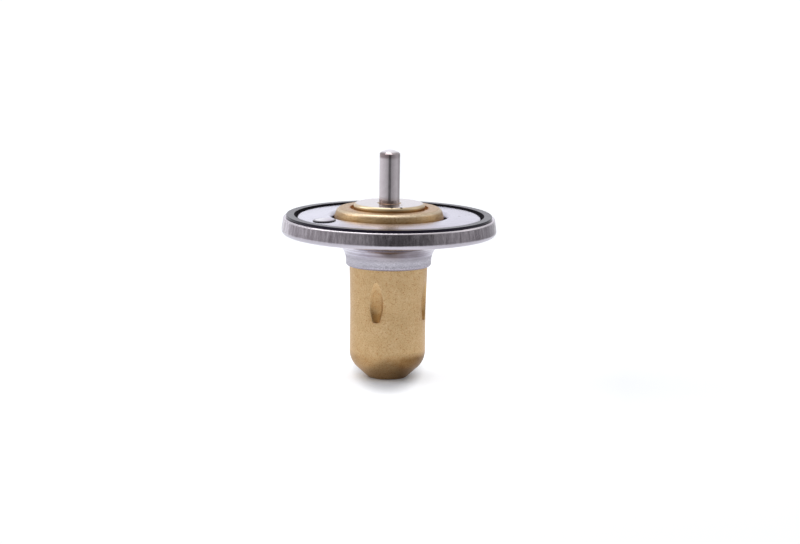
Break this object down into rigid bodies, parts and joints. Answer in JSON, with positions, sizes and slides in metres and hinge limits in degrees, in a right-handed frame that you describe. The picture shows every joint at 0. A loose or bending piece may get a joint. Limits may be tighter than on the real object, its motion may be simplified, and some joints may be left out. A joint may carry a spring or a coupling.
{
  "type": "engine thermostat",
  "caption": "Engine coolant thermostat insert: a crimped brass wax capsule set through a pressed steel valve disc with a rubber face seal, a piston pin on top and a loose vent pin in the disc.",
  "frame": {"origin": "centre of the wax cup's flat end, on which the part stands", "axes": "+Z along the piston pin, out of the wax cup; -Y is the front, and the vent pin is to the left of it"},
  "size_m": [0.054, 0.054, 0.0577],
  "materials": {
    "pressed_steel": "pressed sheet steel, bright zinc, matte where it was drawn",
    "seal_rubber": "moulded black rubber, matte",
    "drawn_brass": "drawn and tumbled brass, satin grain",
    "wax": "hard paraffin wax",
    "boot_rubber": "moulded black rubber, matte",
    "ptfe": "white fluoropolymer, satin",
    "turned_brass": "turned brass, bright plated face",
    "ground_steel": "ground stainless steel",
    "bright_steel": "bright plated steel"
  },
  "bodies": {
    "valve": {"valve_plate": "pressed_steel", "rim_dish": "pressed_steel", "seal_ring": "seal_rubber", "wax_cup": "drawn_brass", "wax_charge": "wax", "squeeze_boot": "boot_rubber", "backup_washer": "ptfe", "pin_guide": "turned_brass"},
    "piston": {"piston_pin": "ground_steel"},
    "vent_pin": {"jiggle_pin": "bright_steel", "jiggle_weight": "bright_steel"}
  },
  "joints": [
    {"name": "piston_travel", "type": "slide", "parent": "valve", "child": "piston", "axis": [0, 0, 1], "range_m": [0, 0.0085]},
    {"name": "vent_lift", "type": "slide", "parent": "valve", "child": "vent_pin", "axis": [0, 0, 1], "range_m": [0, 0.0006]}
  ]
}
